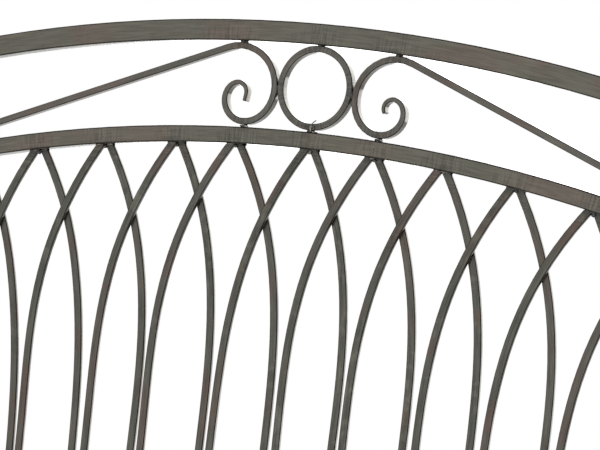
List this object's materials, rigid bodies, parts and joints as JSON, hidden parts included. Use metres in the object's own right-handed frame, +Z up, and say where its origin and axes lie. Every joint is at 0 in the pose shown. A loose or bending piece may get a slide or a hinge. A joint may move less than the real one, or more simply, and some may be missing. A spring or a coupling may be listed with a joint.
{
  "type": "metal trellis arch",
  "caption": "Free-standing arched trellis panel: two arched tube rails, ring and scrolls between them, interlaced pointed-arch lattice under them, posts and cross feet.",
  "frame": {"origin": "on the ground, in the middle of the panel's length and of its thickness", "axes": "+X to the right along the panel, +Z up, -Y towards the panel's front"},
  "size_m": [1.1684, 0.34, 0.9],
  "materials": {
    "rail_steel": "dark gunmetal lacquer over brushed steel, bronze tint in patches, satin",
    "scroll_steel": "dark bronze-grey lacquer over brushed flat bar, satin, lighter worn edges",
    "lattice_steel": "dark gunmetal lacquer over drawn flat bar, satin",
    "weld_metal": "dark weld metal, rough and beaded",
    "plug_plastic": "matt black moulded plastic"
  },
  "bodies": {
    "root": {"top_rail": "rail_steel", "lattice_rail": "rail_steel", "bottom_rail": "rail_steel", "left_post": "rail_steel", "right_post": "rail_steel", "left_foot": "rail_steel", "right_foot": "rail_steel", "centre_ring": "scroll_steel", "left_scroll": "scroll_steel", "right_scroll": "scroll_steel", "front_bar_01": "lattice_steel", "back_bar_01": "lattice_steel", "front_bar_02": "lattice_steel", "back_bar_02": "lattice_steel", "front_bar_03": "lattice_steel", "back_bar_03": "lattice_steel", "front_bar_04": "lattice_steel", "back_bar_04": "lattice_steel", "front_bar_05": "lattice_steel", "back_bar_05": "lattice_steel", "front_bar_06": "lattice_steel", "back_bar_06": "lattice_steel", "front_bar_07": "lattice_steel", "back_bar_07": "lattice_steel", "front_bar_08": "lattice_steel", "back_bar_08": "lattice_steel", "front_bar_09": "lattice_steel", "back_bar_09": "lattice_steel", "front_bar_10": "lattice_steel", "back_bar_10": "lattice_steel", "front_bar_11": "lattice_steel", "back_bar_11": "lattice_steel", "front_bar_12": "lattice_steel", "back_bar_12": "lattice_steel", "ring_slip": "weld_metal", "left_crown_slip": "weld_metal", "right_crown_slip": "weld_metal", "left_belly_slip": "weld_metal", "right_belly_slip": "weld_metal", "left_plug": "plug_plastic", "right_plug": "plug_plastic"}
  },
  "joints": []
}
